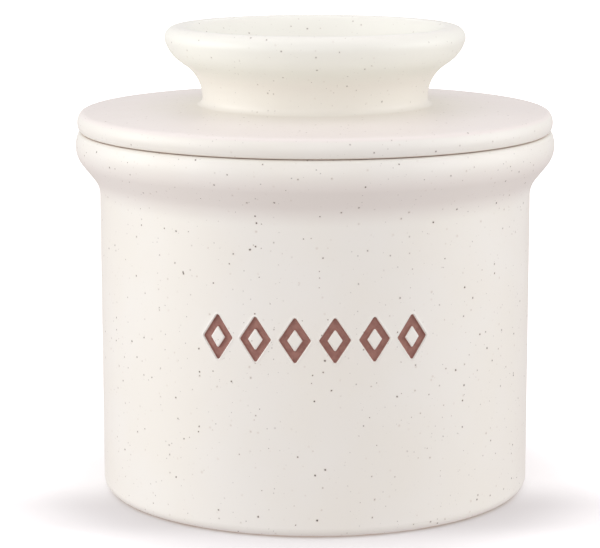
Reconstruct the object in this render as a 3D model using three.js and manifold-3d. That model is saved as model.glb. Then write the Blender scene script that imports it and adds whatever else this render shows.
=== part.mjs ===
// A French butter crock in glazed stoneware: a round crock that holds a little water, and a lid
// that carries a butter bell underneath and a flared, hollow knob on top. Turned over, the lid
// stands on that knob. Six open lozenges are stamped in the front and filled with brown slip.
// Millimetres, +Z up, front towards -Y, origin at the centre of the foot ring's flat.

import * as THREE from "three";
import { mergeVertices } from "three/addons/utils/BufferGeometryUtils.js";
import Module from "manifold-3d";

// Smoothness of the round shapes
const ROUND_SEGMENTS = 60;
const ARC_STEP_DEG = 22;

// Crock, outside
const BODY_RADIUS = 54.05;
const FOOT_CORNER = 2.5;
const COVE_START_Z = 74.8;
const COVE_RADIUS = 7.5;
const FLARE_DEG = 38.5;
const FLARE_STRAIGHT = 4.5;
const SHOULDER_RADIUS = 7.0;
const CROCK_HEIGHT = 90.8;
const RIM_CORNER = 1.4;

// Crock, inside and underneath
const BORE_RADIUS = 48.9;
const MOUTH_RADIUS = 52.6;
const MOUTH_CORNER = 2.0;
const MOUTH_BEND_TOP_Z = 86;
const MOUTH_BEND_RADIUS = 10;
const FLOOR_Z = 7.5;
const FLOOR_FILLET = 6;
const FOOT_RING_INNER = 47.2;
const FOOT_RING_SLOPE = 1.6;
const BASE_RECESS = 1.6;

// Lid plate, measured up from its underside
const SEAT_GAP = 0.3;
const PLATE_SIDE_RADIUS = 3.6;
const PLATE_RADIUS = 59.5;
const PLATE_MID_Z = 2.0;
const PLATE_LOW_CORNER = 1.2;
const PLATE_TOP_CORNER = 1.5;
const PLATE_TOP_CORNER_Z = 3.2;
const PLATE_SLOPE_DEG = 3;

// Knob
const NECK_RADIUS = 28.2;
const NECK_FILLET = 1.6;
const NECK_COVE_RADIUS = 10.2;
const KNOB_FLARE_DEG = 54.7;
const KNOB_FLARE_STRAIGHT = 1.7;
const KNOB_BELLY_RADIUS = 9.5;
const KNOB_BELLY_END_DEG = 18;
const LIP_RADIUS = 2.9;
const LIP_FLAT = 1.2;
const KNOB_INSIDE_DEG = 35;
const KNOB_FLOOR_Z = 7.0;
const KNOB_FLOOR_FILLET = 4;

// Butter bell, hanging below the plate
const BELL_DEPTH = 71;
const BELL_WALL = 4.3;
const BELL_ROOT_RADIUS = 39.5;
const BELL_MOUTH_RADIUS = 41.5;
const BELL_ROOT_FILLET = 4;
const BELL_CEILING_FILLET = 7;

// Stamped marks: a row of open lozenges, each with its slip fill
const MARK_COUNT = 6;
const MARK_PITCH_DEG = 10;
const MARK_Z = 47.8;
const MARK_HALF_WIDTH = 3.8;
const MARK_HALF_HEIGHT = 5.65;
const MARK_STROKE = 1.65;
const MARK_DEPTH = 0.9;
const SLIP_CLEARANCE = 0.3;
const SLIP_THICKNESS = 0.3;

const wasm = await Module();
wasm.setup();

const radians = THREE.MathUtils.degToRad;

// An outline in the half-plane (r, z), drawn anticlockwise from the axis back to the axis.
class Outline {
  points = [];

  to(r, z) {
    const point = new THREE.Vector2(r, z);
    const last = this.points.at(-1);
    if (!last || last.distanceTo(point) > 0.01) this.points.push(point);
    return this;
  }

  arc(centreR, centreZ, radius, fromDeg, toDeg) {
    const steps = Math.max(2, Math.ceil(Math.abs(toDeg - fromDeg) / ARC_STEP_DEG));
    for (let i = 0; i <= steps; i += 1) {
      const angle = radians(fromDeg + ((toDeg - fromDeg) * i) / steps);
      this.to(centreR + radius * Math.cos(angle), centreZ + radius * Math.sin(angle));
    }
    return this;
  }

  // The solid of revolution about Z.
  lathe() {
    return new THREE.LatheGeometry(this.points, ROUND_SEGMENTS).rotateX(Math.PI / 2);
  }
}

// A small corner arc rolling inside a larger one: its centre's offset from the larger arc's
// centre, for a corner whose centre is the given height above that centre.
function innerCorner(largeRadius, cornerRadius, height) {
  const reach = largeRadius - cornerRadius;
  const offset = Math.sqrt(reach * reach - height * height);
  return { offset, deg: THREE.MathUtils.radToDeg(Math.atan2(height, offset)) };
}

function crockOutline() {
  const flare = radians(FLARE_DEG);
  const coveR = BODY_RADIUS + COVE_RADIUS;
  const bothRadii = COVE_RADIUS + SHOULDER_RADIUS;
  const shoulderR =
    coveR - bothRadii * Math.cos(flare) + FLARE_STRAIGHT * Math.sin(flare);
  const shoulderZ =
    COVE_START_Z + bothRadii * Math.sin(flare) + FLARE_STRAIGHT * Math.cos(flare);
  const rimCornerZ = CROCK_HEIGHT - RIM_CORNER;
  const rim = innerCorner(SHOULDER_RADIUS, RIM_CORNER, rimCornerZ - shoulderZ);

  const bendShift = (MOUTH_RADIUS - BORE_RADIUS) / 2;
  const bend = Math.acos(1 - bendShift / MOUTH_BEND_RADIUS);
  const bendDeg = THREE.MathUtils.radToDeg(bend);
  const bendLowZ = MOUTH_BEND_TOP_Z - 2 * MOUTH_BEND_RADIUS * Math.sin(bend);
  const mouthCornerR = MOUTH_RADIUS + MOUTH_CORNER;
  const mouthCornerZ = CROCK_HEIGHT - MOUTH_CORNER;
  const floorFilletR = BORE_RADIUS - FLOOR_FILLET;

  return new Outline()
    .to(0, BASE_RECESS)
    .to(FOOT_RING_INNER - FOOT_RING_SLOPE, BASE_RECESS)
    .to(FOOT_RING_INNER, 0)
    .arc(BODY_RADIUS - FOOT_CORNER, FOOT_CORNER, FOOT_CORNER, -90, 0)
    .arc(coveR, COVE_START_Z, COVE_RADIUS, 180, 180 - FLARE_DEG)
    .arc(shoulderR, shoulderZ, SHOULDER_RADIUS, -FLARE_DEG, rim.deg)
    .arc(shoulderR + rim.offset, rimCornerZ, RIM_CORNER, rim.deg, 90)
    .arc(mouthCornerR, mouthCornerZ, MOUTH_CORNER, 90, 180)
    .arc(MOUTH_RADIUS - MOUTH_BEND_RADIUS, MOUTH_BEND_TOP_Z, MOUTH_BEND_RADIUS, 0, -bendDeg)
    .arc(BORE_RADIUS + MOUTH_BEND_RADIUS, bendLowZ, MOUTH_BEND_RADIUS, 180 - bendDeg, 180)
    .arc(floorFilletR, FLOOR_Z + FLOOR_FILLET, FLOOR_FILLET, 0, -90)
    .to(0, FLOOR_Z);
}

// The bell, from the centre of its ceiling round its mouth to the plate's underside.
function addBell(outline) {
  const mouthRounding = BELL_WALL / 2;
  const mouthR = BELL_MOUTH_RADIUS - mouthRounding;
  const mouthZ = mouthRounding - BELL_DEPTH;
  const ceilingFilletR = BELL_ROOT_RADIUS - BELL_WALL - BELL_CEILING_FILLET;
  const rootFilletR = BELL_ROOT_RADIUS + BELL_ROOT_FILLET;
  return outline
    .to(0, 0)
    .arc(ceilingFilletR, -BELL_CEILING_FILLET, BELL_CEILING_FILLET, 90, 0)
    .arc(mouthR, mouthZ, mouthRounding, 180, 360)
    .arc(rootFilletR, -BELL_ROOT_FILLET, BELL_ROOT_FILLET, 180, 90);
}

// The plate's rounded edge and its gently rising top, as far as the fillet at the neck.
function addPlate(outline) {
  const sideR = PLATE_RADIUS - PLATE_SIDE_RADIUS;
  const low = innerCorner(
    PLATE_SIDE_RADIUS,
    PLATE_LOW_CORNER,
    PLATE_LOW_CORNER - PLATE_MID_Z,
  );
  const top = innerCorner(
    PLATE_SIDE_RADIUS,
    PLATE_TOP_CORNER,
    PLATE_TOP_CORNER_Z - PLATE_MID_Z,
  );
  return outline
    .arc(sideR + low.offset, PLATE_LOW_CORNER, PLATE_LOW_CORNER, -90, low.deg)
    .arc(sideR, PLATE_MID_Z, PLATE_SIDE_RADIUS, low.deg, top.deg)
    .arc(
      sideR + top.offset,
      PLATE_TOP_CORNER_Z,
      PLATE_TOP_CORNER,
      top.deg,
      90 - PLATE_SLOPE_DEG,
    );
}

// Height of the neck fillet's centre, for a fillet that rests on the plate's sloping top.
function neckHeight(outline) {
  const edge = outline.points.at(-1);
  const slope = radians(PLATE_SLOPE_DEG);
  const filletR = NECK_RADIUS + NECK_FILLET;
  return edge.y + (edge.x - filletR) * Math.tan(slope) + NECK_FILLET / Math.cos(slope);
}

// The knob: neck, flare, rounded lip with a narrow flat on its crest, and the hollow inside.
function addKnob(outline) {
  const neckZ = neckHeight(outline);
  const flare = radians(KNOB_FLARE_DEG);
  const bellyEnd = radians(KNOB_BELLY_END_DEG);
  const bothRadii = NECK_COVE_RADIUS + KNOB_BELLY_RADIUS;
  const coveR = NECK_RADIUS + NECK_COVE_RADIUS;
  const bellyR =
    coveR - bothRadii * Math.cos(flare) + KNOB_FLARE_STRAIGHT * Math.sin(flare);
  const bellyZ =
    neckZ + bothRadii * Math.sin(flare) + KNOB_FLARE_STRAIGHT * Math.cos(flare);
  const lipReach = KNOB_BELLY_RADIUS - LIP_RADIUS;
  const lipR = bellyR + lipReach * Math.cos(bellyEnd);
  const lipZ = bellyZ - lipReach * Math.sin(bellyEnd);

  const inside = radians(KNOB_INSIDE_DEG);
  const insideTopR = lipR - LIP_FLAT - LIP_RADIUS * Math.cos(inside);
  const insideTopZ = lipZ + LIP_RADIUS * Math.sin(inside);
  const filletZ = KNOB_FLOOR_Z + KNOB_FLOOR_FILLET;
  const filletTouchZ = filletZ - KNOB_FLOOR_FILLET * Math.sin(inside);
  const filletR =
    insideTopR -
    (insideTopZ - filletTouchZ) * Math.tan(inside) -
    KNOB_FLOOR_FILLET * Math.cos(inside);

  return outline
    .arc(NECK_RADIUS + NECK_FILLET, neckZ, NECK_FILLET, 270 - PLATE_SLOPE_DEG, 180)
    .arc(coveR, neckZ, NECK_COVE_RADIUS, 180, 180 - KNOB_FLARE_DEG)
    .arc(bellyR, bellyZ, KNOB_BELLY_RADIUS, -KNOB_FLARE_DEG, -KNOB_BELLY_END_DEG)
    .arc(lipR, lipZ, LIP_RADIUS, -KNOB_BELLY_END_DEG, 90)
    .arc(lipR - LIP_FLAT, lipZ, LIP_RADIUS, 90, 180 - KNOB_INSIDE_DEG)
    .arc(filletR, filletZ, KNOB_FLOOR_FILLET, -KNOB_INSIDE_DEG, -90)
    .to(0, KNOB_FLOOR_Z);
}

function lidOutline() {
  return addKnob(addPlate(addBell(new Outline())));
}

// A tall thin ring about Z, at the height of the marks.
function bandShell(innerRadius, outerRadius) {
  const low = MARK_Z - 2 * MARK_HALF_HEIGHT;
  const high = MARK_Z + 2 * MARK_HALF_HEIGHT;
  return new Outline()
    .to(innerRadius, low)
    .to(outerRadius, low)
    .to(outerRadius, high)
    .to(innerRadius, high)
    .to(innerRadius, low)
    .lathe();
}

// The lozenge's corners, with each side moved in by the given distance.
function lozengeCorners(inset) {
  const inradius =
    (MARK_HALF_WIDTH * MARK_HALF_HEIGHT) / Math.hypot(MARK_HALF_WIDTH, MARK_HALF_HEIGHT);
  const scale = 1 - inset / inradius;
  const halfWidth = MARK_HALF_WIDTH * scale;
  const halfHeight = MARK_HALF_HEIGHT * scale;
  return [
    new THREE.Vector2(halfWidth, 0),
    new THREE.Vector2(0, halfHeight),
    new THREE.Vector2(-halfWidth, 0),
    new THREE.Vector2(0, -halfHeight),
  ];
}

// An open lozenge pushed outwards along -Y from inside the wall to past its outer face.
function lozengePrism(outerInset, innerInset) {
  const shape = new THREE.Shape(lozengeCorners(outerInset));
  shape.holes.push(new THREE.Path(lozengeCorners(innerInset)));
  const start = BORE_RADIUS;
  const length = BODY_RADIUS + MARK_DEPTH - start;
  return new THREE.ExtrudeGeometry(shape, { depth: length, bevelEnabled: false })
    .rotateX(Math.PI / 2)
    .translate(0, -start, MARK_Z);
}

function solidFrom(geometry) {
  const bare = geometry.clone();
  bare.deleteAttribute("normal");
  bare.deleteAttribute("uv");
  const merged = mergeVertices(bare);
  return new wasm.Manifold(
    new wasm.Mesh({
      numProp: 3,
      vertProperties: merged.attributes.position.array,
      triVerts: merged.index.array,
    }),
  );
}

function geometryFrom(solid) {
  const { vertProperties, triVerts } = solid.getMesh();
  const geometry = new THREE.BufferGeometry();
  geometry.setAttribute("position", new THREE.BufferAttribute(vertProperties, 3));
  geometry.setIndex(new THREE.BufferAttribute(triVerts, 1));
  geometry.computeVertexNormals();
  return geometry;
}

function markAngles() {
  const first = (-MARK_PITCH_DEG * (MARK_COUNT - 1)) / 2;
  return Array.from({ length: MARK_COUNT }, (_, i) => radians(first + i * MARK_PITCH_DEG));
}

// The crock with a recess cut for each mark.
function crockGeometry() {
  const band = solidFrom(bandShell(BODY_RADIUS - MARK_DEPTH, BODY_RADIUS + MARK_DEPTH));
  const recess = solidFrom(lozengePrism(0, MARK_STROKE)).intersect(band);
  let crock = solidFrom(crockOutline().lathe());
  for (const angle of markAngles()) {
    crock = crock.subtract(recess.rotate([0, 0, THREE.MathUtils.radToDeg(angle)]));
  }
  return geometryFrom(crock);
}

// The slip in one mark, at the front: it lies clear of the recess's floor and sides.
function slipGeometry() {
  const inner = BODY_RADIUS - MARK_DEPTH + SLIP_CLEARANCE;
  const band = solidFrom(bandShell(inner, inner + SLIP_THICKNESS));
  const prism = lozengePrism(SLIP_CLEARANCE, MARK_STROKE - SLIP_CLEARANCE);
  return geometryFrom(solidFrom(prism).intersect(band));
}

const glaze = new THREE.MeshStandardMaterial({
  color: 0xe9e2d9,
  roughness: 0.45,
  metalness: 0,
});
const slip = new THREE.MeshStandardMaterial({
  color: 0x86645b,
  roughness: 0.75,
  metalness: 0,
});

function crockAssembly() {
  const assembly = new THREE.Group();
  const crock = new THREE.Mesh(crockGeometry(), glaze);
  crock.name = "crock";
  assembly.add(crock);

  const mark = slipGeometry();
  markAngles().forEach((angle, i) => {
    const fill = new THREE.Mesh(mark, slip);
    fill.name = `slip_mark_${i + 1}`;
    fill.rotation.z = angle;
    assembly.add(fill);
  });
  return assembly;
}

function lidMesh() {
  const lid = new THREE.Mesh(lidOutline().lathe(), glaze);
  lid.name = "lid";
  lid.position.z = CROCK_HEIGHT + SEAT_GAP;
  return lid;
}

const butterCrock = new THREE.Group();
butterCrock.add(crockAssembly());
butterCrock.add(lidMesh());

export default butterCrock;
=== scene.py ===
"""Looks for a glazed stoneware butter crock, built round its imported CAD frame.

The two pieces of pottery are turned again as fine meshes on the CAD outlines, the front gets its
row of stamped lozenges as real relief, and a coat of brown slip lies in each of them.
Outlines are in millimetres, as a potter's drawing is, and become metres when a mesh is made.
+Z is up and the front faces -Y.
"""
import math

import bpy
import numpy as np
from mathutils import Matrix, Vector


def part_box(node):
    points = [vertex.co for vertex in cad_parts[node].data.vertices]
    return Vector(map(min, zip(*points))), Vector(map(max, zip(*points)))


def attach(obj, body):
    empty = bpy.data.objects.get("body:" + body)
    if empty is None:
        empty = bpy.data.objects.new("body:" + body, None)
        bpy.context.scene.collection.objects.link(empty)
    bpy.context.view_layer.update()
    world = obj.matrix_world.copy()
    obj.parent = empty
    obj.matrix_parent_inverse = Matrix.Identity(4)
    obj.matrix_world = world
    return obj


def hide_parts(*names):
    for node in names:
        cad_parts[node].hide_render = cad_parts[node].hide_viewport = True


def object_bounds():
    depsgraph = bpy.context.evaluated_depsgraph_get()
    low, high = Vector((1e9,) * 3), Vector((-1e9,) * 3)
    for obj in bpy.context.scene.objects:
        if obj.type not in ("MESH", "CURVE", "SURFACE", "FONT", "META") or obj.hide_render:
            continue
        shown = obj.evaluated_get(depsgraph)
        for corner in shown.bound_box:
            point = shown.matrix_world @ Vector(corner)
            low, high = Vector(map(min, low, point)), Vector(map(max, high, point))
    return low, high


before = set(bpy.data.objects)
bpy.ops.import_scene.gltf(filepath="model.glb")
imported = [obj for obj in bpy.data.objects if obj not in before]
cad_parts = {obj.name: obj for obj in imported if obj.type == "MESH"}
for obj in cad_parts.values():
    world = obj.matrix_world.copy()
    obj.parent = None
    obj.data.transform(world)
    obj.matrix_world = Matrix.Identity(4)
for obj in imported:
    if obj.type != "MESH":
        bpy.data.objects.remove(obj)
CAD_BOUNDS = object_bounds()

MM = 0.001

# Fineness of the meshes, and the distances below which points count as one or as on the axis
COLUMNS = 216
ARC_STEP_DEG = 5
HOLD = 0.4
SAME = 0.01
ON_AXIS = 0.2

# Crock, outside
BODY_RADIUS = 54.05
FOOT_CORNER = 2.5
COVE_START_Z = 74.8
COVE_RADIUS = 7.5
FLARE_DEG = 38.5
FLARE_STRAIGHT = 4.5
SHOULDER_RADIUS = 7.0
CROCK_HEIGHT = 90.8
RIM_CORNER = 1.4

# Crock, inside and underneath
BORE_RADIUS = 48.9
MOUTH_RADIUS = 52.6
MOUTH_CORNER = 2.0
MOUTH_BEND_TOP_Z = 86
MOUTH_BEND_RADIUS = 10
FLOOR_Z = 7.5
FLOOR_FILLET = 6
FOOT_RING_INNER = 47.2
FOOT_RING_SLOPE = 1.6
FOOT_RING_ROUNDING = 0.6
BASE_RECESS = 1.6

# Lid plate, measured up from its underside
SEAT_GAP = 0.3
SEAT_SINK = 0.2
PLATE_SIDE_RADIUS = 3.6
PLATE_RADIUS = 59.5
PLATE_MID_Z = 2.0
PLATE_LOW_CORNER = 1.2
PLATE_TOP_CORNER = 1.5
PLATE_TOP_CORNER_Z = 3.2
PLATE_SLOPE_DEG = 3

# Knob
NECK_RADIUS = 28.2
NECK_FILLET = 1.6
NECK_COVE_RADIUS = 10.2
KNOB_FLARE_DEG = 54.7
KNOB_FLARE_STRAIGHT = 1.7
KNOB_BELLY_RADIUS = 9.5
KNOB_BELLY_END_DEG = 18
LIP_RADIUS = 2.9
LIP_FLAT = 1.2
KNOB_INSIDE_DEG = 35
KNOB_FLOOR_Z = 7.0
KNOB_FLOOR_FILLET = 4

# Butter bell, hanging below the plate
BELL_DEPTH = 71
BELL_WALL = 4.3
BELL_ROOT_RADIUS = 39.5
BELL_MOUTH_RADIUS = 41.5
BELL_ROOT_FILLET = 4
BELL_CEILING_FILLET = 7

# Stamped lozenges: each sits in a cell of the wall, and the cells lie side by side
MARK_COUNT = 6
MARK_PITCH_DEG = 10
MARK_Z = 47.8
MARK_HALF_WIDTH = 3.8
MARK_HALF_HEIGHT = 5.65
MARK_STROKE = 1.65
MARK_CORNER = 0.45
ISLAND_CORNER = 0.3
CELL_HALF_HEIGHT = 6.4
CELL_STEPS = 6
STAMP_DEPTH = 0.8
WALL_OUT = 0.15
WALL_IN = 0.25
WALL_STEPS = 8
PUSHED_UP = 0.09
PUSHED_WIDTH = 0.5
PUSHED_SHARES = (0.02, 0.07, 0.15, 0.25, 0.4, 0.65, 1.0)
FLAT_SHARES = (0.35, 0.7)
TIP_STEPS = 8
SIDE_STEPS = 16

# Coat of slip in a lozenge. Levels are distances outside the edge of the lozenge's stroke
SLIP_COAT = 0.07
SLIP_KEY = 0.08
SLIP_EDGE = 0.03
SLIP_EDGE_WIDTH = 0.13
SLIP_TUCK = 0.02
SLIP_POOL = 0.03
SLIP_POOL_WIDTH = 0.12
SLIP_POOL_LEVEL = -0.75 * WALL_IN
SLIP_LEVELS = (SLIP_EDGE, 0.0, -0.04, -0.08, -0.13, -0.18, -0.24, -0.34, -0.42)

# Bare, unglazed clay: how far it reaches up from the bottom of each piece
FOOT_BARE = 0.15
BELL_BARE = 0.8

# Darker, browner band at the seat: how far it reaches up and down from the middle of the seat's gap
SEAT_BAND_REACH = 0.22


# ---------------------------------------------------------------- outlines

class Outline:
    """A half section (r, z), drawn anticlockwise from the axis back to the axis."""

    def __init__(self):
        self.points = []

    def to(self, r, z):
        if not self.points or math.dist(self.points[-1], (r, z)) > SAME:
            self.points.append((r, z))
        return self

    def line(self, r, z):
        """A straight run, with a point close to each end that keeps its shading flat."""
        if self.points:
            start = np.array(self.points[-1])
            run = np.array((r, z)) - start
            length = float(np.hypot(*run))
            if length > 4 * HOLD:
                self.to(*(start + run * (HOLD / length)))
                self.to(*(start + run * (1 - HOLD / length)))
        return self.to(r, z)

    def arc(self, centre_r, centre_z, radius, start_deg, end_deg):
        steps = max(2, math.ceil(abs(end_deg - start_deg) / ARC_STEP_DEG))
        for i in range(steps + 1):
            angle = math.radians(start_deg + (end_deg - start_deg) * i / steps)
            place = (centre_r + radius * math.cos(angle), centre_z + radius * math.sin(angle))
            if i == 0:
                self.line(*place)
            else:
                self.to(*place)
        return self


def inner_corner(large_radius, corner_radius, height):
    """Offset and angle of a corner arc rolling inside a larger arc, centred height above it."""
    reach = large_radius - corner_radius
    offset = math.sqrt(reach * reach - height * height)
    return offset, math.degrees(math.atan2(height, offset))


def mark_levels():
    """Heights at which the wall's mesh is cut level, so that the mark cells fit into it."""
    return [
        MARK_Z + CELL_HALF_HEIGHT * (2 * i / CELL_STEPS - 1) for i in range(CELL_STEPS + 1)
    ]


def crock_outline():
    flare = math.radians(FLARE_DEG)
    cove_r = BODY_RADIUS + COVE_RADIUS
    both = COVE_RADIUS + SHOULDER_RADIUS
    shoulder_r = cove_r - both * math.cos(flare) + FLARE_STRAIGHT * math.sin(flare)
    shoulder_z = COVE_START_Z + both * math.sin(flare) + FLARE_STRAIGHT * math.cos(flare)
    rim_z = CROCK_HEIGHT - RIM_CORNER
    rim_offset, rim_deg = inner_corner(SHOULDER_RADIUS, RIM_CORNER, rim_z - shoulder_z)

    bend = math.acos(1 - (MOUTH_RADIUS - BORE_RADIUS) / 2 / MOUTH_BEND_RADIUS)
    bend_deg = math.degrees(bend)
    bend_low_z = MOUTH_BEND_TOP_Z - 2 * MOUTH_BEND_RADIUS * math.sin(bend)

    outline = Outline().to(0, BASE_RECESS)
    outline.line(FOOT_RING_INNER - FOOT_RING_SLOPE, BASE_RECESS)
    outline.arc(
        FOOT_RING_INNER + FOOT_RING_ROUNDING / 2,
        FOOT_RING_ROUNDING,
        FOOT_RING_ROUNDING,
        210,
        270,
    )
    outline.arc(BODY_RADIUS - FOOT_CORNER, FOOT_CORNER, FOOT_CORNER, -90, 0)
    levels = mark_levels()
    outline.line(BODY_RADIUS, levels[0])
    for level in levels[1:]:
        outline.to(BODY_RADIUS, level)
    outline.arc(cove_r, COVE_START_Z, COVE_RADIUS, 180, 180 - FLARE_DEG)
    outline.arc(shoulder_r, shoulder_z, SHOULDER_RADIUS, -FLARE_DEG, rim_deg)
    outline.arc(shoulder_r + rim_offset, rim_z, RIM_CORNER, rim_deg, 90)
    outline.arc(MOUTH_RADIUS + MOUTH_CORNER, CROCK_HEIGHT - MOUTH_CORNER, MOUTH_CORNER, 90, 180)
    outline.arc(MOUTH_RADIUS - MOUTH_BEND_RADIUS, MOUTH_BEND_TOP_Z, MOUTH_BEND_RADIUS, 0, -bend_deg)
    outline.arc(BORE_RADIUS + MOUTH_BEND_RADIUS, bend_low_z, MOUTH_BEND_RADIUS, 180 - bend_deg, 180)
    outline.arc(BORE_RADIUS - FLOOR_FILLET, FLOOR_Z + FLOOR_FILLET, FLOOR_FILLET, 0, -90)
    outline.line(0, FLOOR_Z)
    return outline


def add_bell(outline):
    """The bell, from the centre of its ceiling round its mouth to the plate's underside."""
    rounding = BELL_WALL / 2
    ceiling_r = BELL_ROOT_RADIUS - BELL_WALL - BELL_CEILING_FILLET
    outline.to(0, 0)
    outline.arc(ceiling_r, -BELL_CEILING_FILLET, BELL_CEILING_FILLET, 90, 0)
    outline.arc(BELL_MOUTH_RADIUS - rounding, rounding - BELL_DEPTH, rounding, 180, 360)
    outline.arc(BELL_ROOT_RADIUS + BELL_ROOT_FILLET, -BELL_ROOT_FILLET, BELL_ROOT_FILLET, 180, 90)


def add_plate(outline):
    """The plate's rounded edge and its gently rising top. Returns where the top starts.

    Its underside dips towards the edge, so only a hairline shows between it and the rim.
    """
    side_r = PLATE_RADIUS - PLATE_SIDE_RADIUS
    low_z = PLATE_LOW_CORNER - SEAT_SINK
    low_offset, low_deg = inner_corner(PLATE_SIDE_RADIUS, PLATE_LOW_CORNER, low_z - PLATE_MID_Z)
    top_offset, top_deg = inner_corner(
        PLATE_SIDE_RADIUS, PLATE_TOP_CORNER, PLATE_TOP_CORNER_Z - PLATE_MID_Z
    )
    outline.arc(side_r + low_offset, low_z, PLATE_LOW_CORNER, -90, low_deg)
    outline.arc(side_r, PLATE_MID_Z, PLATE_SIDE_RADIUS, low_deg, top_deg)
    outline.arc(
        side_r + top_offset,
        PLATE_TOP_CORNER_Z,
        PLATE_TOP_CORNER,
        top_deg,
        90 - PLATE_SLOPE_DEG,
    )
    return outline.points[-1]


def add_knob(outline, edge):
    """Neck, flare, rounded lip with a narrow flat on its crest, and the hollow inside."""
    slope = math.radians(PLATE_SLOPE_DEG)
    fillet_r = NECK_RADIUS + NECK_FILLET
    neck_z = edge[1] + (edge[0] - fillet_r) * math.tan(slope) + NECK_FILLET / math.cos(slope)

    flare = math.radians(KNOB_FLARE_DEG)
    belly_end = math.radians(KNOB_BELLY_END_DEG)
    both = NECK_COVE_RADIUS + KNOB_BELLY_RADIUS
    cove_r = NECK_RADIUS + NECK_COVE_RADIUS
    belly_r = cove_r - both * math.cos(flare) + KNOB_FLARE_STRAIGHT * math.sin(flare)
    belly_z = neck_z + both * math.sin(flare) + KNOB_FLARE_STRAIGHT * math.cos(flare)
    reach = KNOB_BELLY_RADIUS - LIP_RADIUS
    lip_r = belly_r + reach * math.cos(belly_end)
    lip_z = belly_z - reach * math.sin(belly_end)

    inside = math.radians(KNOB_INSIDE_DEG)
    inside_r = lip_r - LIP_FLAT - LIP_RADIUS * math.cos(inside)
    inside_z = lip_z + LIP_RADIUS * math.sin(inside)
    floor_z = KNOB_FLOOR_Z + KNOB_FLOOR_FILLET
    touch_z = floor_z - KNOB_FLOOR_FILLET * math.sin(inside)
    floor_r = (
        inside_r
        - (inside_z - touch_z) * math.tan(inside)
        - KNOB_FLOOR_FILLET * math.cos(inside)
    )

    outline.arc(fillet_r, neck_z, NECK_FILLET, 270 - PLATE_SLOPE_DEG, 180)
    outline.arc(cove_r, neck_z, NECK_COVE_RADIUS, 180, 180 - KNOB_FLARE_DEG)
    outline.arc(belly_r, belly_z, KNOB_BELLY_RADIUS, -KNOB_FLARE_DEG, -KNOB_BELLY_END_DEG)
    outline.arc(lip_r, lip_z, LIP_RADIUS, -KNOB_BELLY_END_DEG, 90)
    outline.arc(lip_r - LIP_FLAT, lip_z, LIP_RADIUS, 90, 180 - KNOB_INSIDE_DEG)
    outline.arc(floor_r, floor_z, KNOB_FLOOR_FILLET, -KNOB_INSIDE_DEG, -90)
    outline.line(0, KNOB_FLOOR_Z)


def lid_outline():
    outline = Outline()
    add_bell(outline)
    add_knob(outline, add_plate(outline))
    seat = CROCK_HEIGHT + SEAT_GAP
    outline.points = [(r, z + seat) for r, z in outline.points]
    return outline


# ---------------------------------------------------------------- meshes

class Shell:
    """Vertices and faces of one mesh, in millimetres until it is made."""

    def __init__(self):
        self.places = []
        self.faces = []

    def add(self, places):
        """Adds vertices and returns their numbers."""
        first = len(self.places)
        self.places.extend(tuple(map(float, p)) for p in places)
        return list(range(first, len(self.places)))

    def fan(self, centre, ring):
        for i in range(len(ring)):
            self.faces.append((centre, ring[i], ring[(i + 1) % len(ring)]))

    def band(self, inner, further):
        for i in range(len(inner)):
            j = (i + 1) % len(inner)
            self.faces.append((inner[i], further[i], further[j], inner[j]))

    def make(self, name, material):
        """The finished object, with vertices that lie on each other joined."""
        places = np.round(np.array(self.places), 4)
        unique, joined = np.unique(places, axis=0, return_inverse=True)
        joined = joined.reshape(-1)
        mesh = bpy.data.meshes.new(name)
        faces = [tuple(int(joined[v]) for v in face) for face in self.faces]
        mesh.from_pydata((unique * MM).tolist(), [], faces)
        mesh.validate()
        mesh.shade_smooth()
        mesh.materials.append(material)
        made = bpy.data.objects.new(name, mesh)
        bpy.context.scene.collection.objects.link(made)
        return made


def on_wheel(r, z, angle):
    """A point at an angle round the axis, counted from the front towards +X."""
    return r * math.sin(angle), -r * math.cos(angle), z


def revolve(shell, outline, skip=lambda low_z, high_z, column: False):
    """Turns an outline about the axis. Faces for which skip is true are left open."""
    turn = 2 * math.pi / COLUMNS
    rows = []
    for r, z in outline.points:
        if r < ON_AXIS:
            rows.append(shell.add([(0, 0, z)]) * COLUMNS)
        else:
            rows.append(shell.add([on_wheel(r, z, turn * c) for c in range(COLUMNS)]))
    for i in range(len(rows) - 1):
        low, high = rows[i], rows[i + 1]
        for c in range(COLUMNS):
            d = (c + 1) % COLUMNS
            if skip(outline.points[i], outline.points[i + 1], c):
                continue
            face = [low[c], low[d], high[d], high[c]]
            shell.faces.append(tuple(dict.fromkeys(face)))


def add_ring(shell, centre_angle, points, depth):
    """Adds points laid on the wall round a mark's centre, at a depth below its surface."""
    return shell.add(
        on_wheel(BODY_RADIUS - depth, MARK_Z + z, centre_angle + s / BODY_RADIUS)
        for s, z in points
    )


def cell_half_width():
    return BODY_RADIUS * math.radians(MARK_PITCH_DEG) / 2


def mark_angles():
    first = -MARK_PITCH_DEG * (MARK_COUNT - 1) / 2
    return [math.radians(first + MARK_PITCH_DEG * i) for i in range(MARK_COUNT)]


def in_mark_cells(start, end, column):
    """True for the wall's faces that the mark cells stand in for."""
    levels = mark_levels()
    on_wall = abs(start[0] - BODY_RADIUS) < SAME and abs(end[0] - BODY_RADIUS) < SAME
    at_height = start[1] > levels[0] - SAME and end[1] < levels[-1] + SAME
    half = round(MARK_PITCH_DEG * MARK_COUNT / 2 * COLUMNS / 360)
    return on_wall and at_height and (column < half or column >= COLUMNS - half)


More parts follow.
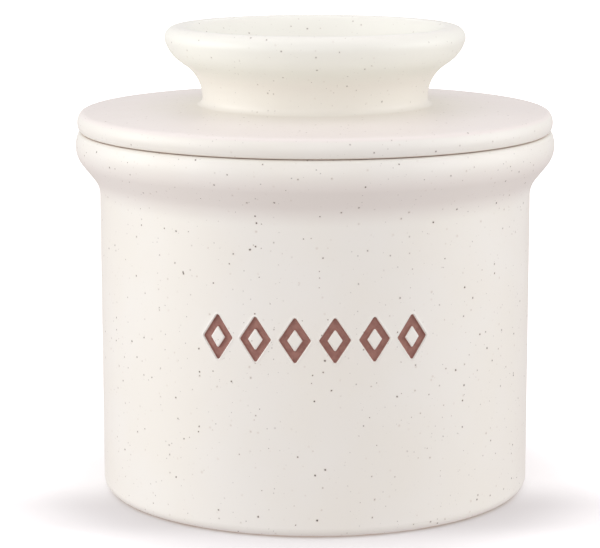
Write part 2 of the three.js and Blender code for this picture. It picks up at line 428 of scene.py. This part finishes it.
def lozenge_ring(half_width, half_height, corner, grow):
    """Points round a lozenge with rounded corners, its outline moved out by grow.

    They start at the right-hand tip and run anticlockwise. Rings of any size match point by point.
    """
    inradius = half_width * half_height / math.hypot(half_width, half_height)
    share = 1 - corner / inradius
    normal = math.atan2(half_width, half_height)
    tips = [
        (half_width * share, 0, -normal, normal),
        (0, half_height * share, normal, math.pi - normal),
        (-half_width * share, 0, math.pi - normal, math.pi + normal),
        (0, -half_height * share, math.pi + normal, 2 * math.pi - normal),
    ]
    radius = corner + grow
    points = []
    for s, z, start, end in tips:
        if points:
            touch = (s + radius * math.cos(start), z + radius * math.sin(start))
            side = np.linspace(points[-1], touch, SIDE_STEPS + 1)
            points.extend(map(tuple, side[1:-1]))
        for i in range(TIP_STEPS + 1):
            angle = start + (end - start) * i / TIP_STEPS
            points.append((s + radius * math.cos(angle), z + radius * math.sin(angle)))
    closing = np.linspace(points[-1], points[0], SIDE_STEPS + 1)
    points.extend(map(tuple, closing[1:-1]))
    half_tip = TIP_STEPS // 2
    return np.array(points[half_tip:] + points[:half_tip])


def outer_ring(level):
    """The stroke's outer outline, moved out by level."""
    return lozenge_ring(MARK_HALF_WIDTH, MARK_HALF_HEIGHT, MARK_CORNER, level)


def island_ring(level):
    """The stroke's inner outline, moved in by level."""
    inradius = MARK_HALF_WIDTH * MARK_HALF_HEIGHT / math.hypot(MARK_HALF_WIDTH, MARK_HALF_HEIGHT)
    share = 1 - MARK_STROKE / inradius
    return lozenge_ring(MARK_HALF_WIDTH * share, MARK_HALF_HEIGHT * share, ISLAND_CORNER, -level)


def smooth(t):
    t = min(1.0, max(0.0, t))
    return t * t * (3 - 2 * t)


def stamp_depth(level):
    """How deep the stamped clay lies, at a distance outside the stroke's edge."""
    return STAMP_DEPTH * smooth((WALL_OUT - level) / (WALL_OUT + WALL_IN))


def pushed_up(level):
    """How far the clay stands proud round a stamp, at a distance outside the stroke's edge."""
    share = min(1.0, max(0.0, (level - WALL_OUT) / PUSHED_WIDTH))
    return PUSHED_UP * math.sin(math.pi * math.sqrt(share)) ** 2


def cell_border():
    """The corners of the wall's mesh round one cell, from the middle of its right-hand side."""
    w, h, n = cell_half_width(), CELL_HALF_HEIGHT, CELL_STEPS
    corners = [(w, 0), (w, h), (0, h), (-w, h), (-w, 0), (-w, -h), (0, -h), (w, -h)]
    border = []
    for i, start in enumerate(corners):
        end = corners[(i + 1) % len(corners)]
        border.extend(map(tuple, np.linspace(start, end, n // 2 + 1)[:-1]))
    return np.array(border)


def middle_ring():
    """The middle of the stroke."""
    return (island_ring(-WALL_IN) + outer_ring(-WALL_IN)) / 2


def stamp_sections():
    """The rings of one stamp, from inside its island to the end of the clay pushed up round it.

    Each is a ring of points and its depth below the wall.
    """
    levels = np.linspace(WALL_OUT, -WALL_IN, WALL_STEPS + 1)
    sections = [(island_ring(WALL_OUT) * share, 0) for share in FLAT_SHARES]
    sections += [(island_ring(level), stamp_depth(level)) for level in levels]
    sections.append((middle_ring(), STAMP_DEPTH))
    sections += [(outer_ring(level), stamp_depth(level)) for level in levels[::-1]]
    proud = np.array(PUSHED_SHARES) * PUSHED_WIDTH + WALL_OUT
    sections += [(outer_ring(level), -pushed_up(level)) for level in proud]
    return sections


def add_mark_cell(shell, centre_angle):
    """One stamped lozenge in its cell of the wall."""
    sections = stamp_sections()
    last_ring = sections[-1][0]
    border = cell_border()
    per_border = len(last_ring) // len(border)
    spots = np.arange(len(last_ring)) / per_border
    closed = np.vstack([border, border[:1]])
    border_fine = np.stack(
        [np.interp(spots, np.arange(len(closed)), closed[:, k]) for k in range(2)], axis=1
    )
    sections += [(last_ring + (border_fine - last_ring) * share, 0) for share in FLAT_SHARES]

    rings = [add_ring(shell, centre_angle, points, depth) for points, depth in sections]
    centre = add_ring(shell, centre_angle, [(0, 0)], 0)[0]
    shell.fan(centre, rings[0])
    for inner, further in zip(rings, rings[1:]):
        shell.band(inner, further)

    edge = add_ring(shell, centre_angle, border, 0)
    last = rings[-1]
    for b in range(len(edge)):
        following = (b + 1) % len(edge)
        first = b * per_border
        middle = first + per_border // 2
        for i in range(first, first + per_border):
            tip = edge[b] if i < middle else edge[following]
            shell.faces.append((last[i], tip, last[(i + 1) % len(last)]))
        shell.faces.append((last[middle], edge[b], edge[following]))


def make_crock(material):
    shell = Shell()
    revolve(shell, crock_outline(), in_mark_cells)
    for angle in mark_angles():
        add_mark_cell(shell, angle)
    return shell.make("crock_glazed", material)


def make_lid(material):
    shell = Shell()
    revolve(shell, lid_outline())
    return shell.make("lid_glazed", material)


def slip_thickness(level):
    """The coat's thickness above the clay: it feathers out just under the stroke's edge."""
    edge = smooth((SLIP_EDGE - level) / SLIP_EDGE_WIDTH)
    pool = math.exp(-(((level - SLIP_POOL_LEVEL) / SLIP_POOL_WIDTH) ** 2))
    return -SLIP_TUCK + (SLIP_COAT + SLIP_TUCK) * edge + SLIP_POOL * pool


def make_slip(name, centre_angle, material):
    """The coat of slip in one lozenge: a closed skin keyed a little way into the clay."""
    sections = [(island_ring(level), level) for level in SLIP_LEVELS]
    sections.append((middle_ring(), -MARK_STROKE / 2))
    sections += [(outer_ring(level), level) for level in SLIP_LEVELS[::-1]]
    top = [(points, stamp_depth(level) - slip_thickness(level)) for points, level in sections]
    bottom = [(points, stamp_depth(level) + SLIP_KEY) for points, level in sections[::-1]]
    shell = Shell()
    loops = [add_ring(shell, centre_angle, points, depth) for points, depth in top + bottom]
    for inner, further in zip(loops, loops[1:] + loops[:1]):
        shell.band(inner, further)
    return shell.make(name, material)


# ---------------------------------------------------------------- materials

def linear(red, green, blue):
    """A linear colour from the 0 to 255 values of a paint chip."""
    def one(v):
        v /= 255
        return v / 12.92 if v <= 0.04045 else ((v + 0.055) / 1.055) ** 2.4
    return (one(red), one(green), one(blue), 1.0)


GLAZE_COLOUR = linear(237, 237, 230)
GLAZE_WARM = linear(236, 235, 226)
# Painted tint of light and shade: rosy shade in the cove under the rim, rosy light from above on
# the plate's top
GLAZE_PAINTED_ROSY_TINT = linear(236, 232, 226)
# Painted shade on the knob's waist and the plate close round it
GLAZE_WAIST_PAINTED_SHADE = linear(233, 230, 221)
# Painted tint of light: the knob's upper part lighter and yellower, the colour it takes in the
# light
GLAZE_PAINTED_LIT_CREAM = linear(239, 241, 232)
SPECK_DARK = linear(58, 46, 41)
SPECK_HALO = linear(196, 184, 170)
CLAY_COLOUR = linear(222, 208, 190)
CLAY_DARK = linear(207, 190, 168)
# Darker, browner band on the faces either side of the seat's gap
SEAT_BAND_COLOUR = linear(221, 204, 192)
SLIP_COLOUR = linear(164, 119, 107)
SLIP_DARK = linear(146, 102, 92)
WHITE = (1, 1, 1, 1)
FLOOR_TONES = ((0.77, 0.77, 0.77, 1), (0.79, 0.79, 0.79, 1))

# Spans of height over which the glaze changes tone, in millimetres above the crock's rim. The rosy,
# waist and cream tones are painted light and shade, not the glaze's own colour
# Painted rosy shade in the cove under the rim, fading in over the first span and out over the
# second
COVE_BOTTOM = (-17, -11)
COVE_TOP = (-2, -7)
VEIL = (0, 2)
# Painted rosy tint of the light from above, from the plate's top upwards
PLATE_TOP = (3.8, 4.6)
# Painted shade on the knob's waist
WAIST_PAINTED_SHADE = (5.4, 7)
# Painted lighter, yellower tint of light on the knob's upper part
PAINTED_LIT_CREAM = (13, 18)
# Strength of the painted rosy shade in the cove
COVE_SHARE = 0.6
VEIL_SHARE = 0.55

# Specks: spacing and largest size in millimetres, and a shift in metres that parts the two sets
STRONG_SPECKS = {"spacing": 1.95, "size": 0.5, "shift": (0.013, 0.007, 0.002)}
FAINT_SPECKS = {"spacing": 1.38, "size": 0.4, "shift": (0.041, 0.003, 0.019)}
SPECK_SMALLEST_SHARE = 0.45
SPECK_CORE = 0.6
SPECK_HALO_REACH = 2.2
RAGGED_SIZE = 0.5
RAGGED_REACH = 0.22

# Sizes of the patterns in the clay, glaze and slip, in millimetres
CLOUD_SIZE = 26
SATIN_SIZE = 9
WANDER_SIZE = 5
ORANGE_PEEL_SIZE = 2.6
MOTTLE_SIZE = 1.6
CLAY_GRAIN_SIZE = 0.35
SLIP_GRAIN_SIZE = 0.3
FLOOR_CLOUD_SIZE = 400

# Edge of the bare clay: how far it wanders and how softly it ends, in millimetres
WANDER_REACH = 0.5
BARE_EDGE = 0.12

# Surfaces
GLAZE_ROUGHNESS = (0.36, 0.43)
GLAZE_IOR = 1.48
GLAZE_RELIEF = 0.06
BARE_ROUGHNESS = 0.85
BARE_TOOTH = 1.5
SLIP_ROUGHNESS = (0.5, 0.7)
SLIP_RELIEF = 0.03

# The floor's own glow, seen by the camera only. Dimmed round the foot and in front of it, it paints
# a soft shadow there. Each step is from, to, glow before and glow after
GLOW_PAINTED_SHADOW_ROUND_FOOT = (0.056, 0.085, 0.0, 0.27)
GLOW_FAR = (0.15, 1.2, 0.0, 0.5)
GLOW_BEHIND = (-0.028, 0.0, 0.0, 0.25)
GLOW_PAINTED_SHADOW_IN_FRONT = (-0.056, -0.04, 0.1, 0.0)


class Tree:
    """Short calls for building one material's nodes."""

    def __init__(self, name):
        self.material = bpy.data.materials.new(name)
        self.material.use_nodes = True
        self.nodes = self.material.node_tree.nodes
        self.links = self.material.node_tree.links
        self.nodes.clear()

    def add(self, kind, inputs, **settings):
        """A node whose inputs are values, or outputs of other nodes."""
        made = self.nodes.new(kind)
        for key, value in settings.items():
            setattr(made, key, value)
        for key, value in inputs.items():
            socket = made.inputs[key]
            if isinstance(value, bpy.types.NodeSocket):
                self.links.new(value, socket)
            else:
                socket.default_value = value
        return made

    def math(self, operation, a, b=0.0):
        return self.add("ShaderNodeMath", {0: a, 1: b}, operation=operation).outputs[0]

    def noise(self, place, size, detail=2.0, roughness=0.5):
        """Noise whose features are about size millimetres across."""
        made = self.add(
            "ShaderNodeTexNoise",
            {"Vector": place, "Scale": 1 / (size * MM), "Detail": detail, "Roughness": roughness},
        )
        return made.outputs["Fac"]

    def ramp(self, value, low, high, out_low=0.0, out_high=1.0):
        """A smooth step from out_low to out_high as value goes from low to high."""
        made = self.add(
            "ShaderNodeMapRange",
            {
                "Value": value,
                "From Min": low,
                "From Max": high,
                "To Min": out_low,
                "To Max": out_high,
            },
            interpolation_type="SMOOTHSTEP",
        )
        return made.outputs["Result"]

    def mix(self, share, a, b):
        made = self.add("ShaderNodeMix", {"Factor": share}, data_type="RGBA")
        for socket, value in ((made.inputs[6], a), (made.inputs[7], b)):
            if isinstance(value, bpy.types.NodeSocket):
                self.links.new(value, socket)
            else:
                socket.default_value = value
        return made.outputs[2]

    def place(self):
        """A point's place on the piece, in metres, the same at every pose."""
        return self.add("ShaderNodeTexCoord", {}).outputs["Object"]

    def finish(self, inputs):
        shader = self.add("ShaderNodeBsdfPrincipled", inputs)
        self.add("ShaderNodeOutputMaterial", {"Surface": shader.outputs[0]})
        return self.material


def specks(tree, place, spacing, size, shift):
    """Grains in the glaze, one to a cell.

    Returns how much of a grain's core and of its halo shows, and its random darkness.
    """
    moved = tree.add("ShaderNodeVectorMath", {0: place, 1: shift}, operation="ADD").outputs[0]
    ragged = tree.add(
        "ShaderNodeTexNoise", {"Vector": moved, "Scale": 1 / (RAGGED_SIZE * MM), "Detail": 1.0}
    ).outputs["Color"]
    nudge = tree.add(
        "ShaderNodeVectorMath", {0: ragged, "Scale": RAGGED_REACH * MM}, operation="SCALE"
    ).outputs[0]
    warped = tree.add("ShaderNodeVectorMath", {0: moved, 1: nudge}, operation="ADD").outputs[0]
    cell = tree.add(
        "ShaderNodeTexVoronoi",
        {"Vector": warped, "Scale": 1 / (spacing * MM)},
        voronoi_dimensions="3D",
        feature="F1",
    )
    random = tree.add("ShaderNodeSeparateColor", {"Color": cell.outputs["Color"]})
    share = tree.ramp(random.outputs["Red"], 0, 1, SPECK_SMALLEST_SHARE, 1.0)
    reach = tree.math("MULTIPLY", share, size / 2 / spacing)
    near = tree.math("DIVIDE", cell.outputs["Distance"], reach)
    core = tree.ramp(near, 1.0, SPECK_CORE)
    halo = tree.ramp(near, SPECK_HALO_REACH, SPECK_CORE)
    return core, halo, random.outputs["Green"]


def glaze_tone(tree, place, above):
    """The glaze's colour without its specks, cloudy and changing with height.
    The changes with height are painted light and shade: rosy shade in the cove under the rim,
    a rosy tint of light from above on the plate's top, shade on the knob's waist, and a lighter,
    yellower tint of light on the knob's upper part.
    """
    cloud = tree.noise(place, CLOUD_SIZE, detail=3)
    colour = tree.mix(tree.ramp(cloud, 0.3, 0.7), GLAZE_COLOUR, GLAZE_WARM)
    # Painted rosy shade in the cove under the rim, and the painted rosy tint of light on the
    # plate's top and above
    cove = tree.math("MULTIPLY", above(COVE_BOTTOM, 0.0, COVE_SHARE), above(COVE_TOP))
    rosy = tree.math("MAXIMUM", cove, above(PLATE_TOP))
    colour = tree.mix(rosy, colour, GLAZE_PAINTED_ROSY_TINT)
    # Painted shade on the knob's waist and the plate close round it
    colour = tree.mix(above(WAIST_PAINTED_SHADE), colour, GLAZE_WAIST_PAINTED_SHADE)
    # Painted tint of light: the knob's upper part lighter and yellower
    return tree.mix(above(PAINTED_LIT_CREAM), colour, GLAZE_PAINTED_LIT_CREAM)


def add_specks(tree, place, colour, veil):
    """Dark specks with soft halos, and faint ones between them. Returns the dark ones too."""
    strong, strong_halo, strong_random = specks(tree, place, **STRONG_SPECKS)
    faint, _, faint_random = specks(tree, place, **FAINT_SPECKS)
    layers = [
        (strong_halo, tree.ramp(strong_random, 0.2, 0.9, 0.05, 0.45), SPECK_HALO),
        (faint, tree.ramp(faint_random, 0.2, 1, 0.04, 0.45), SPECK_DARK),
        (strong, tree.ramp(strong_random, 0.15, 0.8, 0.12, 1.0), SPECK_DARK),
    ]
    for shape, strength, stain in layers:
        share = tree.math("MULTIPLY", tree.math("MULTIPLY", shape, strength), veil)
        colour = tree.mix(share, colour, stain)
    return colour, strong


def make_glaze(name, bare_below, rim_z):
    """Satin warm-white glaze over a clay with iron specks.

    Heights are in metres. Below the first is bare clay. The second is the crock's rim: above it
    the glaze is thick and veils the specks, and on the faces at the seat's gap it is darker and
    browner.
    """
    tree = Tree(name)
    place = tree.place()
    height = tree.add("ShaderNodeSeparateXYZ", {"Vector": place}).outputs["Z"]

    def above(span, before=0.0, after=1.0):
        """A smooth step over a span of millimetres above the rim."""
        return tree.ramp(height, rim_z + span[0] * MM, rim_z + span[1] * MM, before, after)

    colour = glaze_tone(tree, place, above)
    colour, strong = add_specks(tree, place, colour, above(VEIL, 1.0, VEIL_SHARE))

    wander = tree.math("MULTIPLY", tree.noise(place, WANDER_SIZE), WANDER_REACH * MM)
    uneven = tree.math("SUBTRACT", height, wander)
    bare = tree.ramp(uneven, bare_below, bare_below - BARE_EDGE * MM)
    grain = tree.noise(place, CLAY_GRAIN_SIZE, detail=4, roughness=0.7)
    clay = tree.mix(tree.ramp(grain, 0.35, 0.65), CLAY_COLOUR, CLAY_DARK)
    clay = tree.mix(strong, clay, SPECK_DARK)
    colour = tree.mix(bare, colour, clay)

    # A darker, browner band on the faces either side of the seat's gap
    seat_z = rim_z + SEAT_GAP / 2 * MM
    off_seat = tree.math("ABSOLUTE", tree.math("SUBTRACT", height, seat_z))
    seat_band = tree.ramp(off_seat, SEAT_BAND_REACH * MM, SEAT_BAND_REACH / 2 * MM)
    colour = tree.mix(seat_band, colour, SEAT_BAND_COLOUR)

    satin = tree.ramp(tree.noise(place, SATIN_SIZE, detail=3), 0.3, 0.7, *GLAZE_ROUGHNESS)
    rough = tree.math("MAXIMUM", satin, tree.math("MULTIPLY", bare, BARE_ROUGHNESS))
    orange_peel = tree.noise(place, ORANGE_PEEL_SIZE)
    tooth = tree.math("MULTIPLY", grain, tree.math("MULTIPLY", bare, BARE_TOOTH))
    relief = tree.math("ADD", orange_peel, tooth)
    bump = tree.add(
        "ShaderNodeBump", {"Strength": 0.12, "Distance": GLAZE_RELIEF * MM, "Height": relief}
    ).outputs["Normal"]
    return tree.finish(
        {"Base Color": colour, "Roughness": rough, "Normal": bump, "IOR": GLAZE_IOR}
    )


def make_slip_material():
    """Matt brown slip, mottled and faintly grainy."""
    tree = Tree("slip_brown")
    place = tree.place()
    mottle = tree.noise(place, MOTTLE_SIZE, detail=4, roughness=0.6)
    colour = tree.mix(tree.ramp(mottle, 0.3, 0.7), SLIP_COLOUR, SLIP_DARK)
    grain = tree.noise(place, SLIP_GRAIN_SIZE, detail=3)
    rough = tree.ramp(mottle, 0.2, 0.8, *SLIP_ROUGHNESS)
    bump = tree.add(
        "ShaderNodeBump", {"Strength": 0.3, "Distance": SLIP_RELIEF * MM, "Height": grain}
    ).outputs["Normal"]
    return tree.finish({"Base Color": colour, "Roughness": rough, "Normal": bump})


def make_floor_material():
    """A white sweep, lit by the studio and by a glow of its own that only the camera sees.

    The glow is dimmed close round the crock's foot and in front of it, which paints a soft
    shadow there over the rendered one. From underneath the sweep is clear, so that the foot can
    be looked at.
    """
    tree = Tree("white_sweep")
    place = tree.place()
    colour = tree.mix(tree.noise(place, FLOOR_CLOUD_SIZE), *FLOOR_TONES)
    away = tree.add("ShaderNodeVectorMath", {0: place}, operation="LENGTH").outputs["Value"]
    back = tree.add("ShaderNodeSeparateXYZ", {"Vector": place}).outputs["Y"]
    # The glow is dim near the foot and in front of it: a painted shadow over the rendered one
    glow = tree.ramp(away, *GLOW_PAINTED_SHADOW_ROUND_FOOT)
    for along, step in ((away, GLOW_FAR), (back, GLOW_BEHIND), (back, GLOW_PAINTED_SHADOW_IN_FRONT)):
        glow = tree.math("ADD", glow, tree.ramp(along, *step))
    seen = tree.add("ShaderNodeLightPath", {}).outputs["Is Camera Ray"]
    sweep = tree.add(
        "ShaderNodeBsdfPrincipled",
        {
            "Base Color": colour,
            "Roughness": 1.0,
            "Specular IOR Level": 0.0,
            "Emission Color": WHITE,
            "Emission Strength": tree.math("MULTIPLY", glow, seen),
        },
    )
    clear = tree.add("ShaderNodeBsdfTransparent", {})
    below = tree.add("ShaderNodeNewGeometry", {}).outputs["Backfacing"]
    either = tree.add("ShaderNodeMixShader", {0: below, 1: sweep.outputs[0], 2: clear.outputs[0]})
    tree.add("ShaderNodeOutputMaterial", {"Surface": either.outputs[0]})
    return tree.material


# ---------------------------------------------------------------- studio

CAMERA_ELEVATION_DEG = 10.52
CAMERA_DISTANCE = 0.6116
CAMERA_LENS = 144.4
CAMERA_AIM_SHARE = 0.4595
CAMERA_SHIFT = -0.025
CAMERA_SENSOR = 36
CAMERA_CLIP = (0.01, 50)
ROOM_GLOW = 0.6
FLOOR_HALF = 4.0
FLOOR_DROP = 0.05 * MM
TABLE_TINT = (1.0, 0.885, 0.905, 1.0)
CEILING_TINT = (1.0, 0.875, 0.935, 1.0)

# The room's colour from straight down, 0, past the horizon, 0.5, to straight up, 1
ROOM_STOPS = [(0.475, TABLE_TINT), (0.525, WHITE), (0.7, WHITE), (0.8, CEILING_TINT)]

# Softboxes: name, azimuth and elevation in degrees, width and height in metres, power in watts
SOFTBOX_DISTANCE = 1.2
SOFTBOX_AIM_Z = 0.06
SOFTBOXES = [
    ("left", -78, 14, (1.3, 0.8), 8.4),
    ("right", 80, 14, (1.2, 0.8), 6.4),
    ("front", -5, 11, (0.5, 0.8), 1.95),
    ("high_left", -90, 65, (0.6, 0.6), 0.8),
    ("high_right", 90, 65, (0.6, 0.6), 1.0),
    ("top", 0, 89, (0.9, 0.9), 1.4),
    ("back", 180, 40, (0.6, 0.6), 1.0),
]


def make_camera():
    low, high = CAD_BOUNDS
    aim = Vector((0, 0, low.z + CAMERA_AIM_SHARE * (high.z - low.z)))
    elevation = math.radians(CAMERA_ELEVATION_DEG)
    back = Vector((0, -math.cos(elevation), math.sin(elevation)))
    data = bpy.data.cameras.new("camera")
    data.sensor_width = CAMERA_SENSOR
    data.lens = CAMERA_LENS
    data.shift_x = CAMERA_SHIFT
    data.clip_start, data.clip_end = CAMERA_CLIP
    camera = bpy.data.objects.new("camera", data)
    camera.location = aim + back * CAMERA_DISTANCE
    camera.rotation_mode = "QUATERNION"
    camera.rotation_quaternion = (-back).to_track_quat("-Z", "Y")
    bpy.context.scene.collection.objects.link(camera)
    bpy.context.scene.camera = camera


def softbox(name, azimuth_deg, elevation_deg, size, power):
    """An area light aimed at the crock. Azimuth 0 is in front, 90 to the right."""
    azimuth = math.radians(azimuth_deg)
    elevation = math.radians(elevation_deg)
    away = Vector(
        (
            math.sin(azimuth) * math.cos(elevation),
            -math.cos(azimuth) * math.cos(elevation),
            math.sin(elevation),
        )
    )
    data = bpy.data.lights.new(name, "AREA")
    data.shape = "RECTANGLE"
    data.size, data.size_y = size
    data.energy = power
    light = bpy.data.objects.new(name, data)
    light.location = away * SOFTBOX_DISTANCE + Vector((0, 0, SOFTBOX_AIM_Z))
    light.rotation_mode = "QUATERNION"
    light.rotation_quaternion = (-away).to_track_quat("-Z", "Y")
    bpy.context.scene.collection.objects.link(light)


def make_lights():
    for box in SOFTBOXES:
        softbox(*box)


def make_world():
    """A white room between a faintly rosy table and ceiling. The camera sees plain white."""
    world = bpy.data.worlds.new("studio")
    world.use_nodes = True
    nodes, links = world.node_tree.nodes, world.node_tree.links
    nodes.clear()
    direction = nodes.new("ShaderNodeTexCoord")
    split = nodes.new("ShaderNodeSeparateXYZ")
    links.new(direction.outputs["Generated"], split.inputs[0])
    upwards = nodes.new("ShaderNodeMapRange")
    upwards.inputs["From Min"].default_value = -1.0
    links.new(split.outputs["Z"], upwards.inputs["Value"])
    room = nodes.new("ShaderNodeValToRGB")
    stops = room.color_ramp.elements
    stops[0].position, stops[0].color = ROOM_STOPS[0]
    stops[1].position, stops[1].color = ROOM_STOPS[-1]
    for position, colour in ROOM_STOPS[1:-1]:
        stops.new(position).color = colour
    links.new(upwards.outputs["Result"], room.inputs["Fac"])
    seen = nodes.new("ShaderNodeLightPath")
    tint = nodes.new("ShaderNodeMix")
    tint.data_type = "RGBA"
    tint.inputs[7].default_value = WHITE
    links.new(seen.outputs["Is Camera Ray"], tint.inputs["Factor"])
    links.new(room.outputs["Color"], tint.inputs[6])
    strength = nodes.new("ShaderNodeMapRange")
    strength.inputs["To Min"].default_value = ROOM_GLOW
    strength.inputs["To Max"].default_value = 1.0
    links.new(seen.outputs["Is Camera Ray"], strength.inputs["Value"])
    background = nodes.new("ShaderNodeBackground")
    links.new(tint.outputs[2], background.inputs["Color"])
    links.new(strength.outputs["Result"], background.inputs["Strength"])
    output = nodes.new("ShaderNodeOutputWorld")
    links.new(background.outputs[0], output.inputs["Surface"])
    bpy.context.scene.world = world


def make_floor():
    """The table, a hair below the foot so that the two faces don't share one plane."""
    half = FLOOR_HALF
    low = CAD_BOUNDS[0].z - FLOOR_DROP
    mesh = bpy.data.meshes.new("floor")
    corners = [(-half, -half, low), (half, -half, low), (half, half, low), (-half, half, low)]
    mesh.from_pydata(corners, [], [(0, 1, 2, 3)])
    mesh.materials.append(make_floor_material())
    floor = bpy.data.objects.new("floor", mesh)
    bpy.context.scene.collection.objects.link(floor)
    floor.visible_diffuse = False
    floor.visible_glossy = False
    floor.visible_shadow = False


# ---------------------------------------------------------------- assembly

def stand_in(piece, body, node):
    """The piece rides on its body and stands for a CAD node."""
    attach(piece, body)
    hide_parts(node)


def make_object():
    crock_low, crock_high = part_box("crock")
    lid_low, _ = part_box("lid")
    crock_glaze = make_glaze("glaze_crock", crock_low.z + FOOT_BARE * MM, crock_high.z)
    lid_glaze = make_glaze("glaze_lid", lid_low.z + BELL_BARE * MM, crock_high.z)
    stand_in(make_crock(crock_glaze), "crock_body", "crock")
    stand_in(make_lid(lid_glaze), "lid_body", "lid")
    slip = make_slip_material()
    for i, angle in enumerate(mark_angles(), start=1):
        coat = make_slip(f"slip_coat_{i}", angle, slip)
        stand_in(coat, "crock_body", f"slip_mark_{i}")


make_camera()
make_world()
make_lights()
make_floor()
make_object()
bpy.context.scene.view_settings.view_transform = "Standard"
